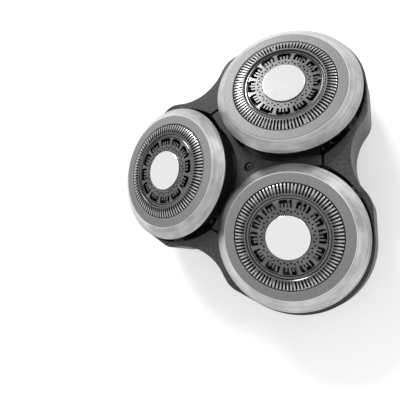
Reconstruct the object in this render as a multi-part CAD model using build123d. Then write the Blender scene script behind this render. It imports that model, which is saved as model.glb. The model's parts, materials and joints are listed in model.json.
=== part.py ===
from build123d import *
import math
import os

# Rotary shaver head: three tilted heads in a lobed frame, driven by gears from one centre socket.
# Millimetres. The origin is on the unit's axis, at the bottom face of the coupling collar.
# +Z points out of the shaving side.

# Layout of the heads
HEAD_COUNT = 3
FIRST_AZIMUTH = 60.0
HEAD_RADIUS = 17.84          # unit axis to the centre of a head's slot track
HEAD_LEVEL = 24.0            # height of that centre
HEAD_TILT = 14.48            # each head leans outward
TILT_RANGE = 6.0             # each way, on the head's own pins
FLOAT_TRAVEL = 0.6           # a guard sinks this far under pressure

# Glide ring: its heights are measured down from the slot track's outer edge
RING_FLAT_RADIUS = 12.5
RING_FLAT_DROP = 0.18
RING_OUTER_RADIUS = 14.93
RING_CHAMFER_DROP = 2.71
RING_BOTTOM_DROP = 2.85
RING_FIT = 0.06

# Guard with its slot track, windows and holding tabs
GUARD_RADIUS = 10.5
GUARD_WALL = 0.4
GUARD_UNDERSIDE_DROP = 0.35
GUARD_WALL_DROP = 3.3
TRACK_INNER_RADIUS = 8.25
TRACK_INNER_RISE = 0.45
GROOVE_INNER_RADIUS = 7.45
GROOVE_BOTTOM_RADIUS = 8.1
GROOVE_RISE = 0.0
WINDOW_LEVEL = 0.3
SLOT_COUNT = 90
SLOT_WIDTH = 0.33
SLOT_END_MARGIN = 0.15
WINDOW_COUNT = 12
WINDOW_INNER_RADIUS = 5.8
WINDOW_OUTER_RADIUS = 7.2
WINDOW_SEPARATOR = 0.65
TAB_COUNT = 4
TAB_REACH = 11.9
TAB_WIDTH = 3.0
TAB_THICKNESS = 0.4
TAB_GAP = 0.05

# Cap disc in the middle of a guard
CAP_RADIUS = 4.3
CAP_TOP_RISE = 0.75
CAP_BEVEL = 0.13
CAP_STEM_RADIUS = 1.0

# Cutter: a stamped plate with blades bent up, on a plastic hub
BLADE_COUNT = 15
BLADE_THICKNESS = 0.35
BLADE_RAKE = 28.0
BLADE_GAP = 0.05
BLADE_HEIGHT = 1.2
BLADE_NOTCH = 0.6
CUTTER_CLEARANCE = 0.15
PLATE_THICKNESS = 0.4
PLATE_WAIST_RADIUS = 5.2
ARM_WIDTH = 1.2
HUB_BODY_RADIUS = 3.3
HUB_FLANGE_RADIUS = 4.4
HUB_FLANGE_THICKNESS = 0.6
HUB_SPIGOT_RADIUS = 2.4
HUB_SPIGOT_RISE = 0.4
SOCKET_FLATS = 3.9
SOCKET_ABOVE_PIVOT = 1.75
SOCKET_BELOW_PIVOT = 1.24

# Gears
GEAR_MODULE = 0.7
CENTRE_TEETH = 18            # a multiple of HEAD_COUNT, so that all three gears mesh alike
HEAD_GEAR_TEETH = 30
GEAR_BOTTOM = 6.3
GEAR_THICKNESS = 2.5
GEAR_BACKLASH = 0.16
GEAR_PLAY = 0.2
PIVOT_RADIUS = 1.5
PIVOT_LENGTH = 1.35
JOURNAL_RADIUS = 2.94
JOURNAL_RISE = 0.2
SPINDLE_RADIUS = 2.1
SPINDLE_TOP = 15.0
SPINDLE_BORE_DEPTH = 5.1
RUNNING_FIT = 0.06
DRIVE_JOURNAL_RADIUS = 3.2
DRIVE_SOCKET_FLATS = 3.2
DRIVE_SOCKET_DEPTH = 4.0
CENTRE_PIVOT_RADIUS = 1.2
CENTRE_PIVOT_LENGTH = 0.9

# Drive tip that slides in the gear's spindle
TIP_FLATS = 3.0
TIP_HALF_HEIGHT = 1.0
TIP_TAPER = 19.0
STEM_FLATS = 2.0
STEM_ENGAGED = 4.2
COLLAR_RADIUS = 2.85
COLLAR_SIDES = 8
COLLAR_THICKNESS = 0.6
COLLAR_LIFT = 1.4

# Spring round the spindle
SPRING_WIRE = 0.4
SPRING_TURNS = 4
SPRING_STEPS = 12
SPRING_CLEARANCE = 0.15

# Holder that carries the ring and swings on two pins
HOLDER_TOP_RADIUS = 13.2
HOLDER_BOTTOM_RADIUS = 12.85
HOLDER_BORE = 12.1
HOLDER_BOTTOM_DROP = 7.4
PIN_RADIUS = 0.65
PIN_REACH = 14.8
RETAINER_SIDES = 12
RETAINER_WIDTH = 1.3
RETAINER_THICKNESS = 0.6
RETAINER_GAP = 0.1

# Frame, island and base share one lobed outline
LOBE_CENTRE = 17.7
LOBE_RADIUS = 15.35
WEB_CIRCLE_CENTRE = 31.7
WEB_CIRCLE_RADIUS = 11.0
CORNER_RADIUS = 5.0
FRAME_WALL = 1.5
FRAME_TOP = 20.1
FRAME_PLATE = 1.8
FRAME_POCKET_CLEARANCE = 0.5
FRAME_SLOPE_EXTRA = 3.2
PARTING_LEVEL = 13.5
SEAM_RADIUS = 15.4
SEAM_GAP = 0.5
LEDGE_LENGTH = 2.4
LEDGE_WIDTH = 2.2
LEDGE_THICKNESS = 1.3
ISLAND_POCKET_RADIUS = 13.7
ISLAND_ARM_WIDTH = 2.0
ISLAND_HUB_RADIUS = 9.5
LUG_HALF_WIDTH = 1.3
LUG_TOP_DROP = 3.2
LUG_BOTTOM_DROP = 6.2
LUG_FACE = 13.6
LUG_UPRIGHT = 1.35
LUG_FOOT_DROP = 4.4
LUG_FOOT_REACH = 16.4

# Base housing with the coupling collar
FLOOR_BOTTOM = 4.5
FLOOR_THICKNESS = 1.5
BASE_WALL = 1.6
BASE_SHOULDER = 8.5
BASE_INSET = 2.4
COUPLING_OUTER_RADIUS = 15.0
COUPLING_INNER_RADIUS = 12.0
COUPLING_LUG_WIDTH = 4.0
COUPLING_LUG_HEIGHT = 1.2
COUPLING_LUG_REACH = 0.7

# Gear plate, posts and screws
GEAR_PLATE_THICKNESS = 1.2
PLATE_POST_RING = 11.0
PLATE_POST_RADIUS = 1.8
PLATE_EAR_RADIUS = 2.6
PLATE_BEARING_RADIUS = 4.6
PLATE_SCREW_RADIUS = 0.75
PLATE_SCREW_HEAD_RADIUS = 1.5
PLATE_SCREW_HEAD = 0.8
PLATE_SCREW_LENGTH = 3.2
CENTRE_POST_RADIUS = 2.6
CENTRE_POST_TOP = 15.0
ISLAND_BOSS_RADIUS = 2.0
CENTRE_SCREW_HEAD_RADIUS = 1.0
CENTRE_SCREW_HEAD = 0.6
CENTRE_SCREW_RADIUS = 0.6
CENTRE_SCREW_BOTTOM = 11.5
HOUSING_POST_RING = 16.6
HOUSING_POST_RADIUS = 1.7
HOUSING_SCREW_RADIUS = 0.8
HOUSING_SCREW_HEAD_RADIUS = 1.3
HOUSING_SCREW_HEAD = 0.9
HOUSING_SCREW_TOP = 17.0
SCREW_FIT = 0.03

# Worked out from the sizes above
TILT = math.radians(HEAD_TILT)
AZIMUTHS = [FIRST_AZIMUTH + i * 360 / HEAD_COUNT for i in range(HEAD_COUNT)]
WEB_AZIMUTHS = [azimuth - 180 / HEAD_COUNT for azimuth in AZIMUTHS]
GEAR_DISTANCE = GEAR_MODULE * (CENTRE_TEETH + HEAD_GEAR_TEETH) / 2
PIVOT_DROP = (HEAD_RADIUS - GEAR_DISTANCE) / math.sin(TILT)
TIP_LEVEL = HEAD_LEVEL - PIVOT_DROP * math.cos(TILT)
RING_BORE = GUARD_RADIUS + RING_FIT
RING_SHIFT = (RING_CHAMFER_DROP + RING_FLAT_DROP) * math.tan(TILT)
CUTTER_RADIUS = GUARD_RADIUS - GUARD_WALL - CUTTER_CLEARANCE
BLADE_TOP = -GUARD_UNDERSIDE_DROP - BLADE_GAP
PLATE_TOP = BLADE_TOP - BLADE_HEIGHT
FLOOR_TOP = FLOOR_BOTTOM + FLOOR_THICKNESS
GEAR_TOP = GEAR_BOTTOM + GEAR_THICKNESS
GEAR_PLATE_BOTTOM = GEAR_TOP + GEAR_PLAY
GEAR_PLATE_TOP = GEAR_PLATE_BOTTOM + GEAR_PLATE_THICKNESS
JOURNAL_TOP = GEAR_PLATE_TOP + JOURNAL_RISE
COLLAR_TOP = TIP_LEVEL - SOCKET_BELOW_PIVOT - COLLAR_LIFT
COLLAR_BOTTOM = COLLAR_TOP - COLLAR_THICKNESS
PLATE_UNDERSIDE = FRAME_TOP - FRAME_PLATE
BIG = 100.0                  # longer than any piece, for cutting blocks


def on_head(azimuth):
    """Frame of one head: x points outward and down, z along the head's own axis."""
    angle = math.radians(azimuth)
    centre = (HEAD_RADIUS * math.cos(angle), HEAD_RADIUS * math.sin(angle), HEAD_LEVEL)
    return Pos(*centre) * Rot(0, 0, azimuth) * Rot(0, HEAD_TILT, 0)


def on_spindle(azimuth):
    """Upright frame on the axis of one head's gear, at the level of the unit's origin."""
    return Rot(0, 0, azimuth) * Pos(GEAR_DISTANCE, 0, 0)


def turned(points):
    """Solid turned about Z from (radius, height) points."""
    outline = Polyline([(radius, 0, height) for radius, height in points], close=True)
    return revolve(make_face(outline), Axis.Z)


def prism(sketch, bottom, top):
    """A sketch in the XY plane pulled up from one height to another."""
    return extrude(Pos(0, 0, bottom) * sketch, top - bottom, dir=(0, 0, 1))


def rod(radius, bottom, top):
    """Round rod on the Z axis."""
    return prism(Circle(radius), bottom, top)


def square(flats, bottom, top):
    """Square bar on the Z axis."""
    return prism(Rectangle(flats, flats), bottom, top)


def glide_ring():
    """Chamfered ring; its lower edge is drawn straight below the top, so it lies off centre."""
    flat = Pos(0, 0, -RING_FLAT_DROP) * Circle(RING_FLAT_RADIUS)
    edge = Pos(RING_SHIFT, 0, -RING_CHAMFER_DROP) * Circle(RING_OUTER_RADIUS)
    chamfer = loft([edge, flat], ruled=True)
    rim = prism(Pos(RING_SHIFT, 0) * Circle(RING_OUTER_RADIUS), -RING_BOTTOM_DROP, -RING_CHAMFER_DROP)
    crown = turned([(0, 0), (RING_BORE, 0), (RING_FLAT_RADIUS, -RING_FLAT_DROP), (0, -RING_FLAT_DROP)])
    return chamfer + rim + crown - rod(RING_BORE, -RING_BOTTOM_DROP - 1, 1)


def window():
    """Sector between two circles with parallel-sided separators beside it."""
    half_angle = 180 / WINDOW_COUNT
    band = Circle(WINDOW_OUTER_RADIUS) - Circle(WINDOW_INNER_RADIUS)
    reach = 2 * WINDOW_OUTER_RADIUS
    side = reach * math.tan(math.radians(half_angle))
    shift = WINDOW_SEPARATOR / 2 / math.sin(math.radians(half_angle))
    wedge = make_face(Polyline([(shift, 0), (shift + reach, side), (shift + reach, -side)], close=True))
    return band & wedge


def guard():
    """Slotted guard: domed slot track, polished groove, window ring, wall and holding tabs."""
    inner_wall = GUARD_RADIUS - GUARD_WALL
    shell = turned([
        (0, WINDOW_LEVEL),
        (GROOVE_INNER_RADIUS, WINDOW_LEVEL),
        (GROOVE_BOTTOM_RADIUS, GROOVE_RISE),
        (TRACK_INNER_RADIUS, TRACK_INNER_RISE),
        (GUARD_RADIUS, 0),
        (GUARD_RADIUS, -GUARD_WALL_DROP),
        (inner_wall, -GUARD_WALL_DROP),
        (inner_wall, -GUARD_UNDERSIDE_DROP),
        (0, -GUARD_UNDERSIDE_DROP),
    ])
    slot_length = inner_wall - TRACK_INNER_RADIUS - 2 * SLOT_END_MARGIN
    slot_middle = (inner_wall + TRACK_INNER_RADIUS) / 2
    slots = PolarLocations(slot_middle, SLOT_COUNT) * Rectangle(slot_length, SLOT_WIDTH)
    windows = PolarLocations(0, WINDOW_COUNT) * window()
    openings = Sketch() + slots + windows + Circle(CAP_STEM_RADIUS)
    shell -= prism(openings, -GUARD_UNDERSIDE_DROP - 1, TRACK_INNER_RISE + 1)
    return shell + guard_tabs()


def guard_tabs():
    """Tabs under the glide ring's bottom face; they keep the guard from lifting out."""
    root = GUARD_RADIUS - GUARD_WALL / 2
    tab = Pos((root + TAB_REACH) / 2, 0) * Rectangle(TAB_REACH - root, TAB_WIDTH)
    places = PolarLocations(0, TAB_COUNT, start_angle=180 / TAB_COUNT)
    top = -RING_BOTTOM_DROP - TAB_GAP
    return prism(Sketch() + places * tab, top - TAB_THICKNESS, top)


def cap_disc():
    """Mirror disc with a bevelled edge; its stem is pressed into the guard."""
    return turned([
        (0, CAP_TOP_RISE),
        (CAP_RADIUS - CAP_BEVEL, CAP_TOP_RISE),
        (CAP_RADIUS, CAP_TOP_RISE - CAP_BEVEL),
        (CAP_RADIUS, WINDOW_LEVEL),
        (CAP_STEM_RADIUS, WINDOW_LEVEL),
        (CAP_STEM_RADIUS, -GUARD_UNDERSIDE_DROP),
        (0, -GUARD_UNDERSIDE_DROP),
    ])


def blade():
    """One double blade on the X axis: a tooth under the windows and a tooth under the slots."""
    inner = (WINDOW_INNER_RADIUS, GROOVE_INNER_RADIUS)
    outer = (TRACK_INNER_RADIUS + SLOT_END_MARGIN, CUTTER_RADIUS)
    foot = PLATE_TOP - PLATE_THICKNESS / 2
    tip = BLADE_TOP + BLADE_HEIGHT
    notch = BLADE_TOP - BLADE_NOTCH
    side = make_face(Polyline([
        (inner[0], 0, foot),
        (inner[0], 0, tip),
        (inner[1], 0, tip),
        (inner[1], 0, notch),
        (outer[0], 0, notch),
        (outer[0], 0, tip),
        (outer[1], 0, tip),
        (outer[1], 0, foot),
    ], close=True))
    upright = extrude(side, BLADE_THICKNESS / 2, dir=(0, 1, 0), both=True)
    return Pos(0, 0, PLATE_TOP) * Rot(BLADE_RAKE, 0, 0) * Pos(0, 0, -PLATE_TOP) * upright


def cutter():
    """Stamped star plate with a raked blade on each arm, ground flat on top."""
    arm = Pos(CUTTER_RADIUS / 2, 0) * Rectangle(CUTTER_RADIUS, ARM_WIDTH)
    star = Circle(PLATE_WAIST_RADIUS) + PolarLocations(0, BLADE_COUNT) * arm
    plate = prism(star - Circle(HUB_SPIGOT_RADIUS), PLATE_TOP - PLATE_THICKNESS, PLATE_TOP)
    blades = PolarLocations(0, BLADE_COUNT) * blade()
    ground = Pos(0, 0, BLADE_TOP + BLADE_HEIGHT) * Box(BIG, BIG, 2 * BLADE_HEIGHT)
    return (plate + blades) - ground


def cutter_hub():
    """Plastic hub pressed into the cutter, with a square socket for the drive tip."""
    plate_bottom = PLATE_TOP - PLATE_THICKNESS
    body = turned([
        (0, PLATE_TOP + HUB_SPIGOT_RISE),
        (HUB_SPIGOT_RADIUS, PLATE_TOP + HUB_SPIGOT_RISE),
        (HUB_SPIGOT_RADIUS, plate_bottom),
        (HUB_FLANGE_RADIUS, plate_bottom),
        (HUB_FLANGE_RADIUS, plate_bottom - HUB_FLANGE_THICKNESS),
        (HUB_BODY_RADIUS, plate_bottom - HUB_FLANGE_THICKNESS),
        (HUB_BODY_RADIUS, -PIVOT_DROP - SOCKET_BELOW_PIVOT),
        (0, -PIVOT_DROP - SOCKET_BELOW_PIVOT),
    ])
    return body - square(SOCKET_FLATS, -PIVOT_DROP - SOCKET_BELOW_PIVOT - 1, -PIVOT_DROP + SOCKET_ABOVE_PIVOT)


def ring_holder():
    """Tapered skirt under the glide ring, with the two pins that it swings on."""
    skirt = turned([
        (HOLDER_BORE, -RING_BOTTOM_DROP),
        (HOLDER_TOP_RADIUS, -RING_BOTTOM_DROP),
        (HOLDER_BOTTOM_RADIUS, -HOLDER_BOTTOM_DROP),
        (HOLDER_BORE, -HOLDER_BOTTOM_DROP),
    ])
    root = (HOLDER_BORE + HOLDER_BOTTOM_RADIUS) / 2
    pin = Pos(0, 0, -PIVOT_DROP) * Rot(-90, 0, 0) * rod(PIN_RADIUS, root, PIN_REACH)
    return skirt + pin + mirror(pin, Plane.XZ)


def retainer():
    """Many-sided snap ring inside the holder; it keeps guard and cutter from falling out."""
    top = -RING_BOTTOM_DROP - TAB_GAP - TAB_THICKNESS - FLOAT_TRAVEL - RETAINER_GAP
    outer = RegularPolygon(HOLDER_BORE, RETAINER_SIDES)
    inner = RegularPolygon(HOLDER_BORE - RETAINER_WIDTH, RETAINER_SIDES)
    return prism(outer - inner, top - RETAINER_THICKNESS, top)


def gear_outline(teeth):
    """Straight-flanked teeth on the pitch circle, thinned by the backlash."""
    pitch = GEAR_MODULE * teeth / 2
    tooth_angle = 360 / teeth
    root_radius, tip_radius = pitch - 1.25 * GEAR_MODULE, pitch + GEAR_MODULE
    root_share, tip_share = 0.36, 0.15
    thinning = math.degrees(GEAR_BACKLASH / pitch) / 2
    points = []
    for i in range(teeth):
        middle = i * tooth_angle
        root_half = root_share * tooth_angle - thinning
        tip_half = tip_share * tooth_angle - thinning
        for radius, angle in (
            (root_radius, middle - root_half),
            (tip_radius, middle - tip_half),
            (tip_radius, middle + tip_half),
            (root_radius, middle + root_half),
        ):
            points.append((radius * math.cos(math.radians(angle)), radius * math.sin(math.radians(angle))))
    return make_face(Polyline(points, close=True))


def head_gear():
    """Gear with its lower pivot, its journal in the gear plate and the hollow spindle."""
    wheel = prism(Rot(0, 0, 180) * gear_outline(HEAD_GEAR_TEETH), GEAR_BOTTOM, GEAR_TOP)
    pivot = rod(PIVOT_RADIUS, GEAR_BOTTOM - PIVOT_LENGTH, GEAR_BOTTOM)
    journal = rod(JOURNAL_RADIUS, GEAR_TOP, JOURNAL_TOP)
    spindle = rod(SPINDLE_RADIUS, JOURNAL_TOP, SPINDLE_TOP)
    bore = square(STEM_FLATS + 2 * RUNNING_FIT, SPINDLE_TOP - SPINDLE_BORE_DEPTH, SPINDLE_TOP + 1)
    return wheel + pivot + journal + spindle - bore


def centre_gear():
    """Driving gear: its journal runs in the floor and its square socket takes the motor's shaft."""
    half_tooth = 180 / CENTRE_TEETH
    wheel = prism(Rot(0, 0, FIRST_AZIMUTH + half_tooth) * gear_outline(CENTRE_TEETH), GEAR_BOTTOM, GEAR_TOP)
    journal = rod(DRIVE_JOURNAL_RADIUS, FLOOR_BOTTOM, GEAR_BOTTOM)
    pivot = rod(CENTRE_PIVOT_RADIUS, GEAR_TOP, GEAR_TOP + CENTRE_PIVOT_LENGTH)
    socket = square(DRIVE_SOCKET_FLATS, FLOOR_BOTTOM - 1, FLOOR_BOTTOM + DRIVE_SOCKET_DEPTH)
    return wheel + journal + pivot - socket


def drive_tip():
    """Barrel-shaped square tip that can lean in the hub's socket, on a sliding square stem."""
    upper = extrude(Pos(0, 0, TIP_LEVEL) * Rectangle(TIP_FLATS, TIP_FLATS), TIP_HALF_HEIGHT, taper=TIP_TAPER)
    lower = mirror(upper, Plane.XY.offset(TIP_LEVEL))
    stem = square(STEM_FLATS, SPINDLE_TOP - STEM_ENGAGED, TIP_LEVEL)
    collar = prism(RegularPolygon(COLLAR_RADIUS, COLLAR_SIDES), COLLAR_BOTTOM, COLLAR_TOP)
    return upper + lower + stem + collar


def tip_spring():
    """Compression spring round the spindle, drawn as a many-sided coil of square wire."""
    radius = SPINDLE_RADIUS + SPRING_CLEARANCE + SPRING_WIRE / 2
    bottom = JOURNAL_TOP + SPRING_WIRE / 2
    rise = COLLAR_BOTTOM - SPRING_WIRE / 2 - bottom
    steps = SPRING_TURNS * SPRING_STEPS
    points = []
    for i in range(steps + 1):
        angle = 2 * math.pi * i / SPRING_STEPS
        points.append((radius * math.cos(angle), radius * math.sin(angle), bottom + rise * i / steps))
    path = Polyline(points)
    section = Plane(origin=points[0], z_dir=path % 0) * Rectangle(SPRING_WIRE, SPRING_WIRE)
    return sweep(section, path=path, transition=Transition.RIGHT)


def lobed_outline():
    """Outline shared by frame and base: three lobes, with a concave bite between each two."""
    lobes = [Rot(0, 0, azimuth) * Pos(LOBE_CENTRE, 0) * Circle(LOBE_RADIUS) for azimuth in AZIMUTHS]
    outline = make_hull([edge for lobe in lobes for edge in lobe.edges()])
    for azimuth in WEB_AZIMUTHS:
        outline -= Rot(0, 0, azimuth) * Pos(WEB_CIRCLE_CENTRE, 0) * Circle(WEB_CIRCLE_RADIUS)
    return round_corners(outline)


def round_corners(outline):
    """Rounds only the corners where a bite meets the hull."""
    reach = WEB_CIRCLE_CENTRE
    corners = []
    for vertex in outline.vertices():
        for azimuth in WEB_AZIMUTHS:
            angle = math.radians(azimuth)
            centre = Vector(reach * math.cos(angle), reach * math.sin(angle))
            if abs((Vector(vertex) - centre).length - WEB_CIRCLE_RADIUS) < 0.001:
                corners.append(vertex)
    return fillet(corners, CORNER_RADIUS)


def inset_outline(distance):
    """The shared outline moved inward."""
    return offset(OUTLINE, -distance)


def pocket(azimuth, radius, shift=0.0):
    """Round clearance about one head's leaning axis."""
    return on_head(azimuth) * Pos(shift, 0, -BIG / 2) * Cylinder(radius, BIG)


def head_slope(azimuth):
    """Block above the plane along which the frame's top falls away on the outer half of a head."""
    start = HEAD_RADIUS - PIVOT_DROP * math.sin(TILT)
    slope = HEAD_TILT + FRAME_SLOPE_EXTRA
    place = Rot(0, 0, azimuth) * Pos(start, 0, FRAME_TOP) * Rot(0, slope, 0)
    return place * Pos(BIG / 2, 0, BIG / 2) * Box(BIG, BIG, BIG)


def pivot_lugs(azimuth):
    """Two bearing lugs for a head's pins: an upright with the hole, on a foot joined to the wall."""
    height = LUG_BOTTOM_DROP - LUG_TOP_DROP
    upright = Pos(0, LUG_FACE + LUG_UPRIGHT / 2, -LUG_TOP_DROP - height / 2)
    block = upright * Box(2 * LUG_HALF_WIDTH, LUG_UPRIGHT, height)
    foot_height = LUG_BOTTOM_DROP - LUG_FOOT_DROP
    foot_length = LUG_FOOT_REACH - LUG_FACE
    foot = Pos(0, LUG_FACE + foot_length / 2, -LUG_FOOT_DROP - foot_height / 2)
    block += foot * Box(2 * LUG_HALF_WIDTH, foot_length, foot_height)
    hole = Pos(0, 0, -PIVOT_DROP) * Rot(-90, 0, 0) * rod(PIN_RADIUS + RUNNING_FIT, 0, LUG_FOOT_REACH)
    block -= hole
    return on_head(azimuth) * (block + mirror(block, Plane.XZ))


def frame():
    """Hollow lobed frame: outer wall, web plates outside the seams, pin lugs and island ledges."""
    shell = prism(OUTLINE, PARTING_LEVEL, FRAME_TOP)
    shell -= prism(inset_outline(FRAME_WALL), PARTING_LEVEL - 1, PLATE_UNDERSIDE)
    seam = SEAM_RADIUS + SEAM_GAP / 2
    middle = Rot(0, 0, WEB_AZIMUTHS[0] + 180) * RegularPolygon(seam, HEAD_COUNT, major_radius=False)
    shell -= prism(middle, PARTING_LEVEL - 1, FRAME_TOP + 1)
    pocket_radius = RING_OUTER_RADIUS + FRAME_POCKET_CLEARANCE
    for azimuth in AZIMUTHS:
        shell -= pocket(azimuth, pocket_radius, FRAME_POCKET_CLEARANCE)
        shell -= head_slope(azimuth)
    core = prism(inset_outline(FRAME_WALL / 3), PARTING_LEVEL, HEAD_LEVEL)
    for azimuth in AZIMUTHS:
        shell += pivot_lugs(azimuth) & core
    return shell + ledges() + frame_bosses()


def ledges():
    """Tongues under the ends of the island's arms."""
    length = LEDGE_LENGTH + SEAM_GAP + FRAME_WALL
    middle = SEAM_RADIUS + SEAM_GAP / 2 + FRAME_WALL - length / 2
    tongue = Pos(middle, 0) * Rectangle(length, LEDGE_WIDTH)
    tongues = Sketch() + [Rot(0, 0, azimuth) * tongue for azimuth in WEB_AZIMUTHS]
    solid = prism(tongues, PLATE_UNDERSIDE - LEDGE_THICKNESS, PLATE_UNDERSIDE)
    for azimuth in AZIMUTHS:
        solid -= pocket(azimuth, ISLAND_POCKET_RADIUS)
    return solid


def frame_bosses():
    """Screw bosses under the web plates."""
    boss = Pos(HOUSING_POST_RING, 0) * (Circle(HOUSING_POST_RADIUS) - Circle(HOUSING_SCREW_RADIUS + SCREW_FIT))
    bosses = Sketch() + [Rot(0, 0, azimuth) * boss for azimuth in WEB_AZIMUTHS]
    return prism(bosses, PARTING_LEVEL, PLATE_UNDERSIDE)


def centre_island():
    """Three-armed island between the heads, with a boss that stands on the gear plate's post."""
    arm = Pos(SEAM_RADIUS / 2 - SEAM_GAP / 4, 0) * Rectangle(SEAM_RADIUS - SEAM_GAP / 2, ISLAND_ARM_WIDTH)
    star = Circle(ISLAND_HUB_RADIUS) + [Rot(0, 0, azimuth) * arm for azimuth in WEB_AZIMUTHS]
    island = prism(star, PLATE_UNDERSIDE, FRAME_TOP)
    for azimuth in AZIMUTHS:
        island -= pocket(azimuth, ISLAND_POCKET_RADIUS)
    island += rod(ISLAND_BOSS_RADIUS, CENTRE_POST_TOP, PLATE_UNDERSIDE)
    island -= rod(CENTRE_SCREW_RADIUS + SCREW_FIT, CENTRE_POST_TOP - 1, FRAME_TOP)
    return island - rod(CENTRE_SCREW_HEAD_RADIUS + SCREW_FIT, FRAME_TOP - CENTRE_SCREW_HEAD, FRAME_TOP + 1)


def centre_screw():
    """Screw through the island into the gear plate's post."""
    head = rod(CENTRE_SCREW_HEAD_RADIUS, FRAME_TOP - CENTRE_SCREW_HEAD, FRAME_TOP)
    return head + rod(CENTRE_SCREW_RADIUS, CENTRE_SCREW_BOTTOM, FRAME_TOP - CENTRE_SCREW_HEAD)


def base_housing():
    """Dished base: floor with bearings, walls up to the parting line, posts and the coupling collar."""
    upper = prism(OUTLINE, BASE_SHOULDER, PARTING_LEVEL)
    depth = BASE_SHOULDER - FLOOR_BOTTOM
    dish_taper = math.degrees(math.atan(BASE_INSET / depth))
    dish = extrude(Pos(0, 0, BASE_SHOULDER) * OUTLINE, depth, dir=(0, 0, -1), taper=dish_taper)
    base = upper + dish
    base -= prism(inset_outline(BASE_WALL), BASE_SHOULDER, PARTING_LEVEL + 1)
    base -= prism(inset_outline(BASE_WALL + BASE_INSET / 2), FLOOR_TOP, BASE_SHOULDER)
    collar = Circle(COUPLING_OUTER_RADIUS) - Circle(COUPLING_INNER_RADIUS)
    base += prism(collar, 0, FLOOR_BOTTOM) + coupling_lugs() + base_posts()
    base -= rod(DRIVE_JOURNAL_RADIUS + RUNNING_FIT, 0, FLOOR_TOP + 1)
    for azimuth in AZIMUTHS:
        bearing = rod(PIVOT_RADIUS + RUNNING_FIT, GEAR_BOTTOM - PIVOT_LENGTH, FLOOR_TOP + 1)
        base -= on_spindle(azimuth) * bearing
    return base - screw_holes()


def coupling_lugs():
    """Three lugs outside the collar that key the unit on its handle."""
    reach = COUPLING_OUTER_RADIUS + COUPLING_LUG_REACH
    root = (COUPLING_OUTER_RADIUS + COUPLING_INNER_RADIUS) / 2
    lug = Pos((reach + root) / 2, 0) * Rectangle(reach - root, COUPLING_LUG_WIDTH)
    lugs = Sketch() + [Rot(0, 0, azimuth) * lug for azimuth in AZIMUTHS]
    return prism(lugs, 0, COUPLING_LUG_HEIGHT)


def base_posts():
    """Short posts for the gear plate and tall ones for the frame's screws."""
    plate_posts = [Rot(0, 0, a) * Pos(PLATE_POST_RING, 0) * Circle(PLATE_POST_RADIUS) for a in WEB_AZIMUTHS]
    frame_posts = [Rot(0, 0, a) * Pos(HOUSING_POST_RING, 0) * Circle(HOUSING_POST_RADIUS) for a in WEB_AZIMUTHS]
    low = prism(Sketch() + plate_posts, FLOOR_TOP, GEAR_PLATE_BOTTOM)
    return low + prism(Sketch() + frame_posts, FLOOR_TOP, PARTING_LEVEL)


def screw_holes():
    """Holes in the base for both sets of screws."""
    holes = Part()
    for azimuth in WEB_AZIMUTHS:
        turn = Rot(0, 0, azimuth)
        plate_hole = rod(PLATE_SCREW_RADIUS + SCREW_FIT, FLOOR_TOP, GEAR_PLATE_BOTTOM + 1)
        shank_hole = rod(HOUSING_SCREW_RADIUS + SCREW_FIT, 0, PARTING_LEVEL + 1)
        head_hole = rod(HOUSING_SCREW_HEAD_RADIUS + SCREW_FIT, 0, FLOOR_BOTTOM + HOUSING_SCREW_HEAD)
        holes += turn * Pos(PLATE_POST_RING, 0) * plate_hole
        holes += turn * Pos(HOUSING_POST_RING, 0) * (shank_hole + head_hole)
    return holes


def gear_plate():
    """Plate over the gears: it bears the spindles and carries the centre post."""
    discs = [Rot(0, 0, a) * Pos(GEAR_DISTANCE, 0) * Circle(PLATE_BEARING_RADIUS) for a in AZIMUTHS]
    discs += [Rot(0, 0, a) * Pos(PLATE_POST_RING, 0) * Circle(PLATE_EAR_RADIUS) for a in WEB_AZIMUTHS]
    sheet = make_hull([edge for disc in discs for edge in disc.edges()])
    plate = prism(sheet, GEAR_PLATE_BOTTOM, GEAR_PLATE_TOP)
    plate += rod(CENTRE_POST_RADIUS, GEAR_PLATE_TOP, CENTRE_POST_TOP)
    plate -= rod(CENTRE_PIVOT_RADIUS + RUNNING_FIT, GEAR_PLATE_BOTTOM - 1, GEAR_PLATE_TOP - JOURNAL_RISE)
    plate -= rod(CENTRE_SCREW_RADIUS + SCREW_FIT, CENTRE_SCREW_BOTTOM, CENTRE_POST_TOP + 1)
    for azimuth in AZIMUTHS:
        plate -= on_spindle(azimuth) * rod(JOURNAL_RADIUS + RUNNING_FIT, 0, GEAR_PLATE_TOP + 1)
    for azimuth in WEB_AZIMUTHS:
        hole = rod(PLATE_SCREW_RADIUS + SCREW_FIT, 0, GEAR_PLATE_TOP + 1)
        plate -= Rot(0, 0, azimuth) * Pos(PLATE_POST_RING, 0) * hole
    return plate


def plate_screws():
    """Three screws that hold the gear plate on its posts."""
    head = rod(PLATE_SCREW_HEAD_RADIUS, GEAR_PLATE_TOP, GEAR_PLATE_TOP + PLATE_SCREW_HEAD)
    screw = head + rod(PLATE_SCREW_RADIUS, GEAR_PLATE_TOP - PLATE_SCREW_LENGTH, GEAR_PLATE_TOP)
    return [Rot(0, 0, azimuth) * Pos(PLATE_POST_RING, 0) * screw for azimuth in WEB_AZIMUTHS]


def housing_screws():
    """Three screws from below that hold the frame on the base."""
    seat = FLOOR_BOTTOM + HOUSING_SCREW_HEAD
    screw = rod(HOUSING_SCREW_HEAD_RADIUS, FLOOR_BOTTOM, seat) + rod(HOUSING_SCREW_RADIUS, seat, HOUSING_SCREW_TOP)
    return [Rot(0, 0, azimuth) * Pos(HOUSING_POST_RING, 0) * screw for azimuth in WEB_AZIMUTHS]


def save(node, shape):
    """Writes one node's STEP file."""
    export_step(shape, f"parts/{node}.step")


OUTLINE = lobed_outline()

os.makedirs("parts", exist_ok=True)

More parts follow.
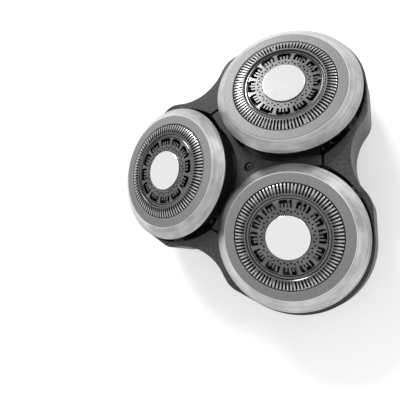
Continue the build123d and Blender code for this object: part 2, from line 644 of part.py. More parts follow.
head_pieces = {
    "glide_ring": glide_ring(),
    "guard": guard(),
    "cap_disc": cap_disc(),
    "cutter": cutter(),
    "cutter_hub": cutter_hub(),
    "ring_holder": ring_holder(),
    "retainer": retainer(),
}
spindle_pieces = {
    "drive_gear": head_gear(),
    "drive_tip": drive_tip(),
    "tip_spring": tip_spring(),
}
for number, azimuth in enumerate(AZIMUTHS, start=1):
    for name, piece in head_pieces.items():
        save(f"{name}_{number}", on_head(azimuth) * piece)
    for name, piece in spindle_pieces.items():
        save(f"{name}_{number}", on_spindle(azimuth) * piece)

save("frame", frame())
save("centre_island", centre_island())
save("centre_screw", centre_screw())
save("base_housing", base_housing())
save("gear_plate", gear_plate())
save("centre_gear", centre_gear())
save("plate_screws", Compound(children=plate_screws()))
save("housing_screws", Compound(children=housing_screws()))
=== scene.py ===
import json
import math

import bmesh
import bpy
from bpy.props import FloatProperty, FloatVectorProperty, IntProperty, PointerProperty
from mathutils import Matrix, Vector


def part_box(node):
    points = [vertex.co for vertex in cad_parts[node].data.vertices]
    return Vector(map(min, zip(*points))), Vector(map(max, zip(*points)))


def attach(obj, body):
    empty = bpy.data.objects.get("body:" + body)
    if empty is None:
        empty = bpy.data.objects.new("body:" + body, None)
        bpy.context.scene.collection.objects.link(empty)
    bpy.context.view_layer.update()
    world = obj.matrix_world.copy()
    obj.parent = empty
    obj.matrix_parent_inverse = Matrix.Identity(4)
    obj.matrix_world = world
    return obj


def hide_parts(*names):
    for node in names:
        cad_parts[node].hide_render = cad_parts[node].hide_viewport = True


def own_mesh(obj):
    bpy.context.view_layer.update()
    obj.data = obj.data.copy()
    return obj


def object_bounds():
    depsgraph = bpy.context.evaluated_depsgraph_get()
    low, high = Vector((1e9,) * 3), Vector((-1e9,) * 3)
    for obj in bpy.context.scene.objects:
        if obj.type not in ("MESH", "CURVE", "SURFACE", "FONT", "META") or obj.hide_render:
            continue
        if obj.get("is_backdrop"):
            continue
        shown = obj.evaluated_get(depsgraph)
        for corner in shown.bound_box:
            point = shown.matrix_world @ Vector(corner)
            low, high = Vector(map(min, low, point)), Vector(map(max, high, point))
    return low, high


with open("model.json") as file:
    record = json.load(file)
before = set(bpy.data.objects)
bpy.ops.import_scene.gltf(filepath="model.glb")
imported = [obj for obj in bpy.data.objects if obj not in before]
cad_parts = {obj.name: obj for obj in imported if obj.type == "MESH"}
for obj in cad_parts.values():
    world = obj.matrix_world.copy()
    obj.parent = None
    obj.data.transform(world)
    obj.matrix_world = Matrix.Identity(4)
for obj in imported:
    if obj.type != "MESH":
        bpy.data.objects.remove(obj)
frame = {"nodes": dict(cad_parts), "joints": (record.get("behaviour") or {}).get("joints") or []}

bl_info = {
    "name": "Rotary Shaver Head",
    "version": (1, 0, 0),
    "blender": (4, 5, 0),
    "location": "3D View > Sidebar > Shaver Head",
    "description": "Dresses the fixed frame of a rotary shaver head with its finished pieces",
    "category": "Object",
}

MM = 0.001
HEADS = (1, 2, 3)
JOINTS = {joint["name"]: joint for joint in frame["joints"]}
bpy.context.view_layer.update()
SHARP_ANGLE = math.radians(32)

# Where a guard's steel changes, as radii in millimetres
GROOVE_INNER = 7.35          # inner edge of the polished groove
TRACK_INNER = 8.3            # inner edge of the slot track
CROWN_START = 8.9            # from here to the next the track's colour turns from dark to bright: a painted highlight
CROWN_END = 9.5

CREVICE_REACH = 0.35 * MM    # how far from a wall a guard's steel is darkened by painted shade
BRIGHT_LINE_LEAD = 0.03      # how far down its chamfer a glide ring's bright line lies, in millimetres


class ShaverSizes(bpy.types.PropertyGroup):
    """Sizes of the pieces that a user may change, in metres."""

    guard_radius: FloatProperty(
        name="Guard radius", description="Outer radius of a guard's wall",
        default=10.5 * MM, unit="LENGTH")
    cap_radius: FloatProperty(
        name="Cap radius", description="Radius of the mirror disc in a guard's centre",
        default=4.3 * MM, unit="LENGTH")
    slot_count: IntProperty(
        name="Slots", description="Radial slots round each guard", default=90, min=30)
    window_count: IntProperty(
        name="Windows", description="Toothed windows round each guard", default=12, min=4)
    hole_count: IntProperty(
        name="Holes", description="Small round holes round each guard, in two staggered rows",
        default=48, min=8)
    hole_radius: FloatProperty(
        name="Hole radius", description="Radius of the small round holes",
        default=0.19 * MM, unit="LENGTH")
    ring_flat_radius: FloatProperty(
        name="Ring flat radius", description="Radius at which a glide ring's chamfer starts",
        default=12.5 * MM, unit="LENGTH")
    ring_outer_radius: FloatProperty(
        name="Ring outer radius", description="Radius of a glide ring's lower edge",
        default=14.93 * MM, unit="LENGTH")


class ShaverColours(bpy.types.PropertyGroup):
    """Colours of the finishes."""

    aluminium: FloatVectorProperty(
        name="Aluminium", description="Turned glide rings", subtype="COLOR",
        default=(0.44, 0.44, 0.435), min=0, max=1)
    steel: FloatVectorProperty(
        name="Guard steel", description="Slotted guards", subtype="COLOR",
        default=(0.40, 0.39, 0.385), min=0, max=1)
    mirror: FloatVectorProperty(
        name="Cap mirror", description="Polished discs", subtype="COLOR",
        default=(0.82, 0.82, 0.82), min=0, max=1)
    cutter: FloatVectorProperty(
        name="Cutter steel", description="Blades under the guards", subtype="COLOR",
        default=(0.16, 0.16, 0.16), min=0, max=1)
    body: FloatVectorProperty(
        name="Body plastic", description="Frame, island, base and holders", subtype="COLOR",
        default=(0.022, 0.023, 0.024), min=0, max=1)
    nylon: FloatVectorProperty(
        name="Gear nylon", description="Gears and hubs", subtype="COLOR",
        default=(0.20, 0.20, 0.195), min=0, max=1)


def sizes():
    """The scene's size properties."""
    return bpy.context.scene.shaver_sizes


def colours():
    """The scene's colour properties."""
    return bpy.context.scene.shaver_colours


def head_matrix(number):
    """Place of one head: its z is the cutter's axis, its x points outward, away from the unit's axis."""
    joint = JOINTS[f"cutter_{number}_spin"]
    up = Vector(joint["axis"]).normalized()
    centre = Vector(joint["pos_m"])
    side = Vector((0, 0, 1)).cross(up).normalized()
    out = side.cross(up).normalized()
    if out.dot(Vector((centre.x, centre.y, 0))) < 0:
        out = -out
        side = -side
    return Matrix.Translation(centre) @ Matrix((out, side, up)).transposed().to_4x4()


def shaded(colour, factor):
    """A colour times a factor."""
    return tuple(min(1.0, channel * factor) for channel in colour)


class Nodes:
    """A material's node tree. Its calls take numbers, colours and (node, output) pairs, and most of them
    give back such a pair."""

    def __init__(self, name):
        self.material = bpy.data.materials.new(name)
        self.material.use_nodes = True
        self.tree = self.material.node_tree
        self.shader = self.tree.nodes["Principled BSDF"]

    def add(self, kind, inputs=None, **settings):
        """Adds a node, with its inputs by socket name or number."""
        node = self.tree.nodes.new(kind)
        for key, value in settings.items():
            setattr(node, key, value)
        for key, value in (inputs or {}).items():
            self.feed(node, key, value)
        return node

    def feed(self, node, key, value):
        """Sets a socket to a value, or links it to another node's output."""
        if isinstance(value, tuple) and len(value) == 2 and isinstance(value[0], bpy.types.Node):
            self.tree.links.new(value[0].outputs[value[1]], node.inputs[key])
        else:
            node.inputs[key].default_value = value

    def set(self, **inputs):
        """Sets or links the shader's sockets; underscores stand for spaces."""
        for key, value in inputs.items():
            self.feed(self.shader, key.replace("_", " "), value)

    def object_place(self):
        """Place on the piece, in metres."""
        return self.add("ShaderNodeTexCoord"), "Object"

    def turning_map(self):
        """The UV map of a turned piece, made by lathe_mesh or map_radius."""
        return self.add("ShaderNodeUVMap", uv_map="turning"), "UV"

    def height_on(self, vector):
        """Second part of a vector."""
        return self.add("ShaderNodeSeparateXYZ", {"Vector": vector}), "Y"

    def stretched(self, vector, scale):
        """A vector with each part times its own scale."""
        return self.add("ShaderNodeMapping", {"Vector": vector, "Scale": scale}), "Vector"

    def calculate(self, operation, *values):
        """Result of a calculation with one to three values."""
        return self.add("ShaderNodeMath", dict(enumerate(values)), operation=operation), "Value"

    def noise(self, vector, scale, detail=3.0, roughness=0.5):
        """Grey noise."""
        inputs = {"Vector": vector, "Scale": scale, "Detail": detail, "Roughness": roughness}
        return self.add("ShaderNodeTexNoise", inputs), "Fac"

    def ramp(self, value, low, high, start=0.0, end=1.0):
        """A value mapped from low..high to start..end."""
        inputs = {"Value": value, "From Min": low, "From Max": high, "To Min": start, "To Max": end}
        return self.add("ShaderNodeMapRange", inputs), "Result"

    def mix(self, factor, first, second, blend="MIX"):
        """Colour mixed from two, by a factor."""
        inputs = {0: factor, 6: first, 7: second}
        return self.add("ShaderNodeMix", inputs, data_type="RGBA", blend_type=blend), 2

    def mix_numbers(self, factor, first, second):
        """Number mixed from two, by a factor."""
        return self.add("ShaderNodeMix", {0: factor, 2: first, 3: second}, data_type="FLOAT"), 0

    def multiply(self, colour, level):
        """A colour times a level."""
        return self.mix(1.0, colour, level, "MULTIPLY")

    def mottled(self, value, low, high, colour, dark, bright):
        """A colour times dark where a value is low, and times bright where it is high."""
        darkest, brightest = (*shaded(colour, dark), 1), (*shaded(colour, bright), 1)
        return self.mix(self.ramp(value, low, high), darkest, brightest)

    def bump(self, height, strength, distance, normal=None):
        """Normal of a surface with small heights on it."""
        inputs = {"Height": height, "Strength": strength, "Distance": distance}
        if normal is not None:
            inputs["Normal"] = normal
        return self.add("ShaderNodeBump", inputs), "Normal"


def turned_aluminium(name, colour):
    """Glide ring: a blasted, darker flat, a burnished edge and a chamfer with turning lines and painted
    sheen.
    """
    nodes = Nodes(name)
    turning = nodes.turning_map()
    along = nodes.height_on(turning)
    start = chamfer_start()
    on_chamfer = nodes.ramp(along, start - 0.05, start + 0.05)
    lines = nodes.noise(nodes.stretched(turning, (0.5, 1.0, 1.0)), scale=3.2, roughness=0.75)
    # Painted sheen: broad sectors round the chamfer are made lighter and darker, standing in for the turned
    # metal's reflections.
    painted_sheen_sectors = nodes.noise(nodes.stretched(turning, (7.0, 0.15, 1.0)), scale=1.0, detail=5.0, roughness=0.6)
    grain = nodes.noise(nodes.object_place(), scale=6000.0, roughness=0.6)
    lined = nodes.mottled(lines, 0.38, 0.62, colour, dark=0.76, bright=1.16)
    chamfer = nodes.multiply(lined, nodes.ramp(painted_sheen_sectors, 0.35, 0.65, start=0.52, end=1.28))
    flat = nodes.mottled(grain, 0.35, 0.65, colour, dark=0.45, bright=0.64)
    tone = nodes.mix(on_chamfer, flat, chamfer)
    off_edge = nodes.calculate("ABSOLUTE", nodes.calculate("SUBTRACT", along, start))
    bright_line = nodes.ramp(off_edge, 0.02, 0.13, start=1.0, end=0.0)
    burnished = nodes.mix(bright_line, tone, (*shaded(colour, 1.5), 1))
    height = nodes.mix_numbers(on_chamfer, grain, lines)
    tangent = nodes.add("ShaderNodeTangent", direction_type="UV_MAP", uv_map="turning")
    nodes.set(Base_Color=burnished, Metallic=1.0,
              Roughness=nodes.mix_numbers(on_chamfer, 0.62, 0.30),
              Anisotropic=nodes.mix_numbers(on_chamfer, 0.15, 0.7),
              Tangent=(tangent, "Tangent"),
              Normal=nodes.bump(height, strength=0.30, distance=0.02 * MM))
    return nodes.material


def slotted_steel(name, colour):
    """Guard: bars with a painted highlight, a polished groove and a darker stamped middle, by radius, and
    painted shade by walls.
    """
    nodes = Nodes(name)
    place = nodes.object_place()
    radius = nodes.height_on(nodes.turning_map())
    cloud = nodes.noise(place, scale=420.0)
    scratch = nodes.noise(place, scale=3000.0, detail=5.0, roughness=0.7)
    middle = nodes.mottled(cloud, 0.3, 0.7, colour, dark=0.28, bright=0.46)
    ground = nodes.mottled(scratch, 0.3, 0.7, colour, dark=0.58, bright=0.98)
    # Painted highlight: the bars' colour grows brighter towards their outer end and is darker inward.
    ground_with_painted_highlight = nodes.multiply(ground, nodes.ramp(radius, CROWN_START, CROWN_END, start=0.50, end=1.55))
    past_middle = nodes.ramp(radius, GROOVE_INNER, GROOVE_INNER + 0.1)
    tone = nodes.mix(past_middle, middle, ground_with_painted_highlight)
    # Painted shade: the steel is darkened near walls, in its slots, windows, holes and groove, by ambient
    # occlusion.
    painted_shade_occlusion = nodes.add("ShaderNodeAmbientOcclusion", {"Distance": CREVICE_REACH}, samples=8)
    tone_with_painted_shade = nodes.multiply(tone, nodes.ramp((painted_shade_occlusion, "AO"), 0.45, 0.98, start=0.30, end=1.0))
    on_track = nodes.ramp(radius, TRACK_INNER - 0.1, TRACK_INNER)
    inner_rough = nodes.mix_numbers(past_middle, 0.26, 0.09)
    nodes.set(Base_Color=tone_with_painted_shade, Metallic=1.0,
              Roughness=nodes.mix_numbers(on_track, inner_rough, 0.27),
              Normal=nodes.bump(scratch, strength=0.12, distance=0.01 * MM))
    return nodes.material


def pressed_steel(name, colour, roughness):
    """Pressed steel with faint clouding and fine scratches."""
    nodes = Nodes(name)
    place = nodes.object_place()
    cloud = nodes.noise(place, scale=350.0)
    scratch = nodes.noise(place, scale=2500.0, detail=5.0, roughness=0.7)
    nodes.set(Base_Color=nodes.mottled(cloud, 0.3, 0.7, colour, dark=0.88, bright=1.12), Metallic=1.0,
              Roughness=nodes.ramp(scratch, 0.3, 0.7, start=roughness * 0.75, end=roughness * 1.3),
              Normal=nodes.bump(scratch, strength=0.15, distance=0.01 * MM))
    return nodes.material


def mirror_metal(name, colour):
    """Polished metal with a barely seen waviness."""
    nodes = Nodes(name)
    place = nodes.object_place()
    wave = nodes.noise(place, scale=180.0, detail=1.0)
    haze = nodes.noise(place, scale=900.0)
    nodes.set(Base_Color=nodes.mottled(haze, 0.3, 0.7, colour, dark=0.985, bright=1.0), Metallic=1.0,
              Roughness=nodes.ramp(haze, 0.3, 0.7, start=0.05, end=0.10),
              Normal=nodes.bump(wave, strength=0.04, distance=0.02 * MM))
    return nodes.material


def grained_plastic(name, colour, roughness=0.5, grain=4200.0, depth=0.35, edge=0.12):
    """Moulded plastic with a fine spark-eroded grain, mottling and edges that look rounded."""
    nodes = Nodes(name)
    place = nodes.object_place()
    fine = nodes.noise(place, scale=grain, roughness=0.6)
    cloud = nodes.noise(place, scale=160.0, detail=4.0, roughness=0.6)
    speckle = nodes.noise(place, scale=2000.0, roughness=0.8)
    both = nodes.calculate("MULTIPLY_ADD", cloud, 0.4, speckle)
    soft_edge = nodes.add("ShaderNodeBevel", {"Radius": edge * MM}, samples=4)
    nodes.set(Base_Color=nodes.mottled(both, 0.57, 0.83, colour, dark=0.30, bright=2.2),
              Roughness=nodes.ramp(cloud, 0.3, 0.7, start=roughness * 0.85, end=roughness * 1.15),
              Normal=nodes.bump(fine, depth, 0.03 * MM, (soft_edge, "Normal")))
    return nodes.material


def finish(key):
    """The material of one finish, made once; the prefix sets it apart from the frame's own materials."""
    name = f"finish_{key}"
    found = bpy.data.materials.get(name)
    if found:
        return found
    tint = colours()
    makers = {
        "turned_aluminium": lambda: turned_aluminium(name, tint.aluminium),
        "guard_steel": lambda: slotted_steel(name, tint.steel),
        "cap_mirror": lambda: mirror_metal(name, tint.mirror),
        "cutter_steel": lambda: pressed_steel(name, tint.cutter, 0.32),
        "spring_steel": lambda: pressed_steel(name, shaded(tint.steel, 1.1), 0.25),
        "screw_steel": lambda: pressed_steel(name, shaded(tint.cutter, 0.28), 0.35),
        "body_plastic": lambda: grained_plastic(name, tint.body, edge=0.2),
        # Painted shade: the base's plastic is the body's made darker, so that its flank does not show the
        # floor's light.
        "base_plastic": lambda: grained_plastic(name, shaded(tint.body, 0.6), edge=0.2),
        "holder_plastic": lambda: grained_plastic(name, shaded(tint.body, 0.45), roughness=0.55),
        "plate_plastic": lambda: grained_plastic(name, shaded(tint.body, 2.5)),
        "gear_nylon": lambda: grained_plastic(name, tint.nylon, 0.42, 1800.0, 0.15, 0.06),
        "tip_plastic": lambda: grained_plastic(name, shaded(tint.body, 1.8), 0.4, 2400.0, 0.2, 0.06),
    }
    return makers[key]()


def linked(name, content):
    """A new object with this content, in the scene."""
    thing = bpy.data.objects.new(name, content)
    bpy.context.scene.collection.objects.link(thing)
    return thing


def mesh_from(shape, name):
    """A new mesh with this shape, which is freed."""
    mesh_data = bpy.data.meshes.new(name)
    shape.to_mesh(mesh_data)
    shape.free()
    return mesh_data


def new_piece(name, mesh_data, key, body, replaced=(), place=None):
    """Makes a mesh a piece of the object, with its finish, body and the nodes it stands for.
    Its place goes into the mesh, so that the box round a tilted piece is its real one."""
    if not mesh_data.polygons:
        raise RuntimeError(f"{name} has no faces")
    if place is not None:
        mesh_data.transform(place)
    piece = linked(name, mesh_data)
    mesh_data.materials.append(finish(key))
    mesh_data.polygons.foreach_set("use_smooth", [True] * len(mesh_data.polygons))
    mesh_data.set_sharp_from_angle(angle=SHARP_ANGLE)
    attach(piece, body)
    if replaced:
        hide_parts(*replaced)
    return piece


def dress(node, key):
    """Gives a CAD node its finish."""
    for material_slot in frame["nodes"][node].material_slots:
        material_slot.material = finish(key)


def section_lengths(profile):
    """Distance along a section from its first point to each of its points, and round to the first again,
    in millimetres."""
    lengths = [0.0]
    for (r0, h0, _), (r1, h1, _) in zip(profile, profile[1:] + profile[:1]):
        lengths.append(lengths[-1] + math.hypot(r1 - r0, h1 - h0) / MM)
    return lengths


def lathe_mesh(name, profile, steps, closed=True):
    """Mesh turned about z from (radius, height, shift along x) points in metres; radius 0 makes a pole.
    Its UV map runs u round the axis and v along the section, in millimetres."""
    shape = bmesh.new()
    uv = shape.loops.layers.uv.new("turning")
    angles = [2 * math.pi * i / steps for i in range(steps)]
    rings = []
    for radius, height, shift in profile:
        around = angles if radius > 0 else angles[:1]
        rings.append([shape.verts.new((shift + radius * math.cos(a), radius * math.sin(a), height))
                      for a in around])
    lengths = section_lengths(profile)
    for k in range(len(profile) if closed else len(profile) - 1):
        low, high = rings[k], rings[(k + 1) % len(rings)]
        if len(low) == 1 and len(high) == 1:
            continue
        for i in range(steps):
            j = (i + 1) % steps
            corners = [(low, i, i, k), (low, j, i + 1, k), (high, j, i + 1, k + 1), (high, i, i, k + 1)]
            verts, coords = [], []
            for ring, at, step, row in corners:
                vert = ring[at % len(ring)]
                if vert not in verts:
                    verts.append(vert)
                    coords.append((step / steps, lengths[row]))
            face = shape.faces.new(verts)
            for loop, value in zip(face.loops, coords):
                loop[uv].uv = value
    bmesh.ops.recalc_face_normals(shape, faces=shape.faces)
    return mesh_from(shape, name)


def in_metres(points):
    """Section points in millimetres as (radius, height, shift) in metres; the shift may be left out."""
    return [(p[0] * MM, p[1] * MM, (p[2] if len(p) > 2 else 0.0) * MM) for p in points]


# A glide ring's section, in millimetres, with heights from the top of its bore
RING_FOOT = -2.85
RING_GAP = 0.06              # between a guard's wall and the ring's bore
RIM_SHIFT = 0.745            # how far outward the rim lies, so that it is straight below the tilted top
CHAMFER_POINT = 8            # number of the section's point, from 0, where the chamfer starts
RING_STEPS = 240


def ring_profile():
    """Section of a glide ring with rounded edges. Two points close together before and after each rounding
    keep the flat and the chamfer straight when they are shaded smooth."""
    size = sizes()
    flat = size.ring_flat_radius / MM
    outer = size.ring_outer_radius / MM
    bore = size.guard_radius / MM + RING_GAP
    inner_wall = [(bore, RING_FOOT), (bore, -0.10), (bore + 0.03, -0.03)]
    top = [(bore + 0.10, 0.0), (bore + 0.18, -0.0074), (flat - 0.20, -0.1526), (flat - 0.12, -0.16),
           (flat - 0.03, -0.19, 0.01)]
    chamfer = [(flat + 0.06, -0.26, 0.02), (flat + 0.14, -0.342, 0.044), (outer - 0.18, -2.498, 0.684),
               (outer - 0.10, -2.58, RIM_SHIFT * 0.95)]
    rim = [(outer - 0.02, -2.68, RIM_SHIFT), (outer, -2.78, RIM_SHIFT),
           (outer - 0.05, RING_FOOT, RIM_SHIFT)]
    return in_metres(inner_wall + top + chamfer + rim)


def chamfer_start():
    """Where a glide ring's bright edge line lies on its section, as the UV map's v."""
    return section_lengths(ring_profile())[CHAMFER_POINT] + BRIGHT_LINE_LEAD


class SHAVER_OT_glide_rings(bpy.types.Operator):
    """Turned aluminium glide rings"""

    bl_idname = "shaver.glide_rings"
    bl_label = "Glide Rings"

    def execute(self, context):
        profile = ring_profile()
        for number in HEADS:
            mesh_data = lathe_mesh(f"glide_ring_{number}_turned", profile, RING_STEPS)
            new_piece(f"glide_ring_{number}_turned", mesh_data, "turned_aluminium", f"head_{number}",
                      [f"glide_ring_{number}"], head_matrix(number))
        return {"FINISHED"}


# Radii in millimetres where a guard's top changes height, with that height above the slot track's edge
GUARD_STATIONS = [
    (1.05, 0.30), (4.00, 0.30), (4.70, 0.30), (5.55, 0.30), (5.80, 0.30), (6.60, 0.29), (7.05, 0.28),
    (7.30, 0.26), (7.42, 0.22), (7.50, 0.10), (7.62, -0.02), (7.85, -0.08), (8.05, -0.05), (8.16, 0.10),
    (8.24, 0.36), (8.34, 0.44), (8.46, 0.45), (9.30, 0.31), (10.00, 0.15), (10.22, 0.06), (10.38, -0.04),
    (10.47, -0.18),
]
GUARD_UNDERSIDE = -0.35      # heights in millimetres, from the slot track's edge
GUARD_SHOULDER = -0.32
GUARD_FOOT = -3.3
GUARD_WALL = 0.4             # thickness in millimetres
GUARD_EDGE = 0.05            # bevel on the wall's foot
SAME_POINT = 0.0005 * MM     # corners this close are one

# Openings: radii in millimetres, angles in degrees from an opening's middle
SLOT_SPAN = (8.46, 10.38)
SLOT_SHARE = 0.58            # slot's part of a slot and a bar
WINDOW_SPAN = (5.80, 7.30)
WINDOW_HALF = 12.2
WINDOW_CORNER = 1.6          # angle by which a window is narrower beyond CORNER_START
CORNER_START = 7.05
TOOTH_PLACES = (-6.0, 0.0, 6.0)
TOOTH_HALF = 1.5
TOOTH_REACH = 6.60           # a tooth stands from the window's inner edge up to this radius


def guard_angles(size):
    """All angles, in degrees, at which a slot, window, corner or tooth of the guard starts or ends."""
    slot_pitch = 360 / size.slot_count
    window_pitch = 360 / size.window_count
    angles = set()
    for i in range(size.slot_count):
        for edge in (-0.5 * SLOT_SHARE, 0.0, 0.5 * SLOT_SHARE, 0.5):
            angles.add(round((i + edge) * slot_pitch % 360, 4))
    edges = [-WINDOW_HALF, WINDOW_HALF, WINDOW_CORNER - WINDOW_HALF, WINDOW_HALF - WINDOW_CORNER]
    edges += [place + side * TOOTH_HALF for place in TOOTH_PLACES for side in (-1, 1)]
    for i in range(size.window_count):
        for edge in edges:
            angles.add(round((i * window_pitch + edge) % 360, 4))
    return sorted(angles)


def off_centre(angle, pitch):
    """Signed distance, in degrees, of an angle from the nearest multiple of a pitch."""
    return (angle + pitch / 2) % pitch - pitch / 2


def guard_is_open(radius, angle, size):
    """True where a guard is cut through: a slot, or a window between its teeth."""
    if SLOT_SPAN[0] < radius < SLOT_SPAN[1]:
        pitch = 360 / size.slot_count
        return abs(off_centre(angle, pitch)) < pitch * SLOT_SHARE / 2
    if WINDOW_SPAN[0] < radius < WINDOW_SPAN[1]:
        place = off_centre(angle, 360 / size.window_count)
        if abs(place) > WINDOW_HALF:
            return False
        if radius > CORNER_START and abs(place) > WINDOW_HALF - WINDOW_CORNER:
            return False
        if radius < TOOTH_REACH:
            return all(abs(place - tooth) > TOOTH_HALF for tooth in TOOTH_PLACES)
        return True
    return False


def guard_mesh(name, size):
    """Closed mesh of a guard: top and underside share a polar grid, with walls round every opening."""
    angles = guard_angles(size)
    count = len(angles)
    middles = [(angle + ((following - angle) % 360) / 2) % 360
               for angle, following in zip(angles, angles[1:] + angles[:1])]
    shape = bmesh.new()
    directions = [(math.cos(math.radians(a)), math.sin(math.radians(a))) for a in angles]

    def circle(radius, height):
        """Corners at all the angles, on a circle in millimetres."""
        return [shape.verts.new((radius * MM * c, radius * MM * s, height * MM)) for c, s in directions]

    top = [circle(radius, height) for radius, height in GUARD_STATIONS]
    outer_radius = size.guard_radius / MM
    inner_radius = outer_radius - GUARD_WALL
    under = [circle(min(radius, inner_radius), GUARD_UNDERSIDE) for radius, _ in GUARD_STATIONS[:-2]]
    rim = [circle(outer_radius, GUARD_SHOULDER), circle(outer_radius, GUARD_FOOT + GUARD_EDGE),
           circle(outer_radius - GUARD_EDGE, GUARD_FOOT), circle(inner_radius + GUARD_EDGE, GUARD_FOOT),
           circle(inner_radius, GUARD_FOOT + GUARD_EDGE)]
    open_cell = {}
    last = len(GUARD_STATIONS) - 1
    for k in range(last):
        radius = (GUARD_STATIONS[k][0] + GUARD_STATIONS[k + 1][0]) / 2
        for i in range(count):
            open_cell[k, i] = guard_is_open(radius, middles[i], size)
    last_under = len(under) - 1

    def below(k):
        """Circle of the underside below one of the top's."""
        return under[min(k, last_under)]

    # Top and underside of every closed cell, with a wall where the next cell round is open
    for k in range(last):
        for i in range(count):
            j = (i + 1) % count
            if open_cell[k, i]:
                continue
            shape.faces.new((top[k][i], top[k + 1][i], top[k + 1][j], top[k][j]))
            if k < last_under:
                shape.faces.new((below(k)[j], below(k + 1)[j], below(k + 1)[i], below(k)[i]))
            for side, edge in ((-1, i), (1, j)):
                if open_cell[k, (i + side) % count]:
                    corners = [top[k][edge], top[k + 1][edge], below(k + 1)[edge], below(k)[edge]]
                    shape.faces.new(list(dict.fromkeys(corners)))
    # Walls between an open and a closed cell of two neighbouring stations
    for k in range(1, last):
        for i in range(count):
            j = (i + 1) % count
            if open_cell[k - 1, i] != open_cell[k, i]:
                shape.faces.new((top[k][i], top[k][j], below(k)[j], below(k)[i]))
    # Outer wall, and the wall of the hole in the middle
    chain = [top[last]] + rim + [under[last_under]]
    for low, high in zip(chain, chain[1:]):
        for i in range(count):
            j = (i + 1) % count
            shape.faces.new((low[i], low[j], high[j], high[i]))
    for i in range(count):
        j = (i + 1) % count
        shape.faces.new((top[0][j], top[0][i], under[0][i], under[0][j]))
    bmesh.ops.remove_doubles(shape, verts=shape.verts, dist=SAME_POINT)
    bmesh.ops.recalc_face_normals(shape, faces=shape.faces)
    return mesh_from(shape, name)


HOLE_RADII = (4.95, 5.27)    # radii of the two rows of small holes, in millimetres
HOLE_SIDES = 14
ROD_LENGTH = 3.0 * MM        # more than a guard's top is thick
FEWEST_FACES_PER_SLOT = 10   # a guard with fewer has lost its cuts


def hole_cutter(size):
    """Short rods for the two staggered rows of small holes."""
    shape = bmesh.new()
    for i in range(size.hole_count):
        angle = 2 * math.pi * (i + 0.5) / size.hole_count
        radius = HOLE_RADII[i % 2] * MM
        place = Matrix.Translation((radius * math.cos(angle), radius * math.sin(angle), 0))
        bmesh.ops.create_cone(shape, cap_ends=True, segments=HOLE_SIDES, radius1=size.hole_radius,
                              radius2=size.hole_radius, depth=ROD_LENGTH, matrix=place)
    return linked("hole_cutter", mesh_from(shape, "hole_cutter"))


def cut_away(mesh_data, cutter):
    """The mesh with the cutter's solids taken out of it; the cutter is deleted."""
    blank = linked("blank", mesh_data)
    cut = blank.modifiers.new("Cut", "BOOLEAN")
    cut.operation = "DIFFERENCE"
    cut.solver = "EXACT"
    cut.object = cutter
    graph = bpy.context.evaluated_depsgraph_get()
    result = bpy.data.meshes.new_from_object(blank.evaluated_get(graph))
    bpy.data.objects.remove(blank)
    bpy.data.objects.remove(cutter)
    if not result.polygons:
        raise RuntimeError(f"nothing was left of {mesh_data.name} after a cut")
    return result


def map_radius(mesh_data):
    """Adds a UV map whose v is the distance from the z axis in millimetres."""
    layer = mesh_data.uv_layers.new(name="turning")
    for loop in mesh_data.loops:
        x, y, _ = mesh_data.vertices[loop.vertex_index].co
        layer.data[loop.index].uv = (math.atan2(y, x) / (2 * math.pi), math.hypot(x, y) / MM)


class SHAVER_OT_guards(bpy.types.Operator):
    """Slotted guards with toothed windows, small holes and a polished groove"""

    bl_idname = "shaver.guards"
    bl_label = "Guards"

    def execute(self, context):
        size = sizes()
        master = cut_away(guard_mesh("guard_master", size), hole_cutter(size))
        if len(master.polygons) < size.slot_count * FEWEST_FACES_PER_SLOT:
            raise RuntimeError("the guard's holes could not be cut")
        map_radius(master)
        for number in HEADS:
            new_piece(f"guard_{number}_slotted", master.copy(), "guard_steel", f"guard_{number}",
                      [f"guard_{number}"], head_matrix(number))
        bpy.data.meshes.remove(master)
        return {"FINISHED"}


# A cap disc's section, in millimetres, with heights from the slot track's edge
CAP_SEAT = 0.30
CAP_STEM = 1.0
CAP_STEM_FOOT = -0.35
CAP_STEPS = 160


def cap_profile():
    """Section of a cap disc: a barely domed face, a bevelled edge and a stem through the guard."""
    radius = sizes().cap_radius / MM
    face = [(0, 0.75), (radius * 0.5, 0.745), (radius - 0.22, 0.7365), (radius - 0.16, 0.735)]
    edge = [(radius - 0.11, 0.72), (radius - 0.02, 0.62), (radius, 0.57), (radius, CAP_SEAT)]
    stem = [(CAP_STEM, CAP_SEAT), (CAP_STEM, CAP_STEM_FOOT), (0, CAP_STEM_FOOT)]
    return in_metres(face + edge + stem)


class SHAVER_OT_cap_discs(bpy.types.Operator):
    """Mirror discs with a bevelled edge"""

    bl_idname = "shaver.cap_discs"
    bl_label = "Cap Discs"

    def execute(self, context):
        profile = cap_profile()
        for number in HEADS:
            mesh_data = lathe_mesh(f"cap_disc_{number}_polished", profile, CAP_STEPS, closed=False)
            new_piece(f"cap_disc_{number}_polished", mesh_data, "cap_mirror", f"guard_{number}",
                      [f"cap_disc_{number}"], head_matrix(number))
        return {"FINISHED"}


SPRING_WIRE = 0.2 * MM       # radius of the wire
SPRING_TURNS = 4
STEPS_PER_TURN = 36
WIRE_SIDES = 10
END_CLOSING = 0.06           # share of a spring's height by which its end coils are drawn together


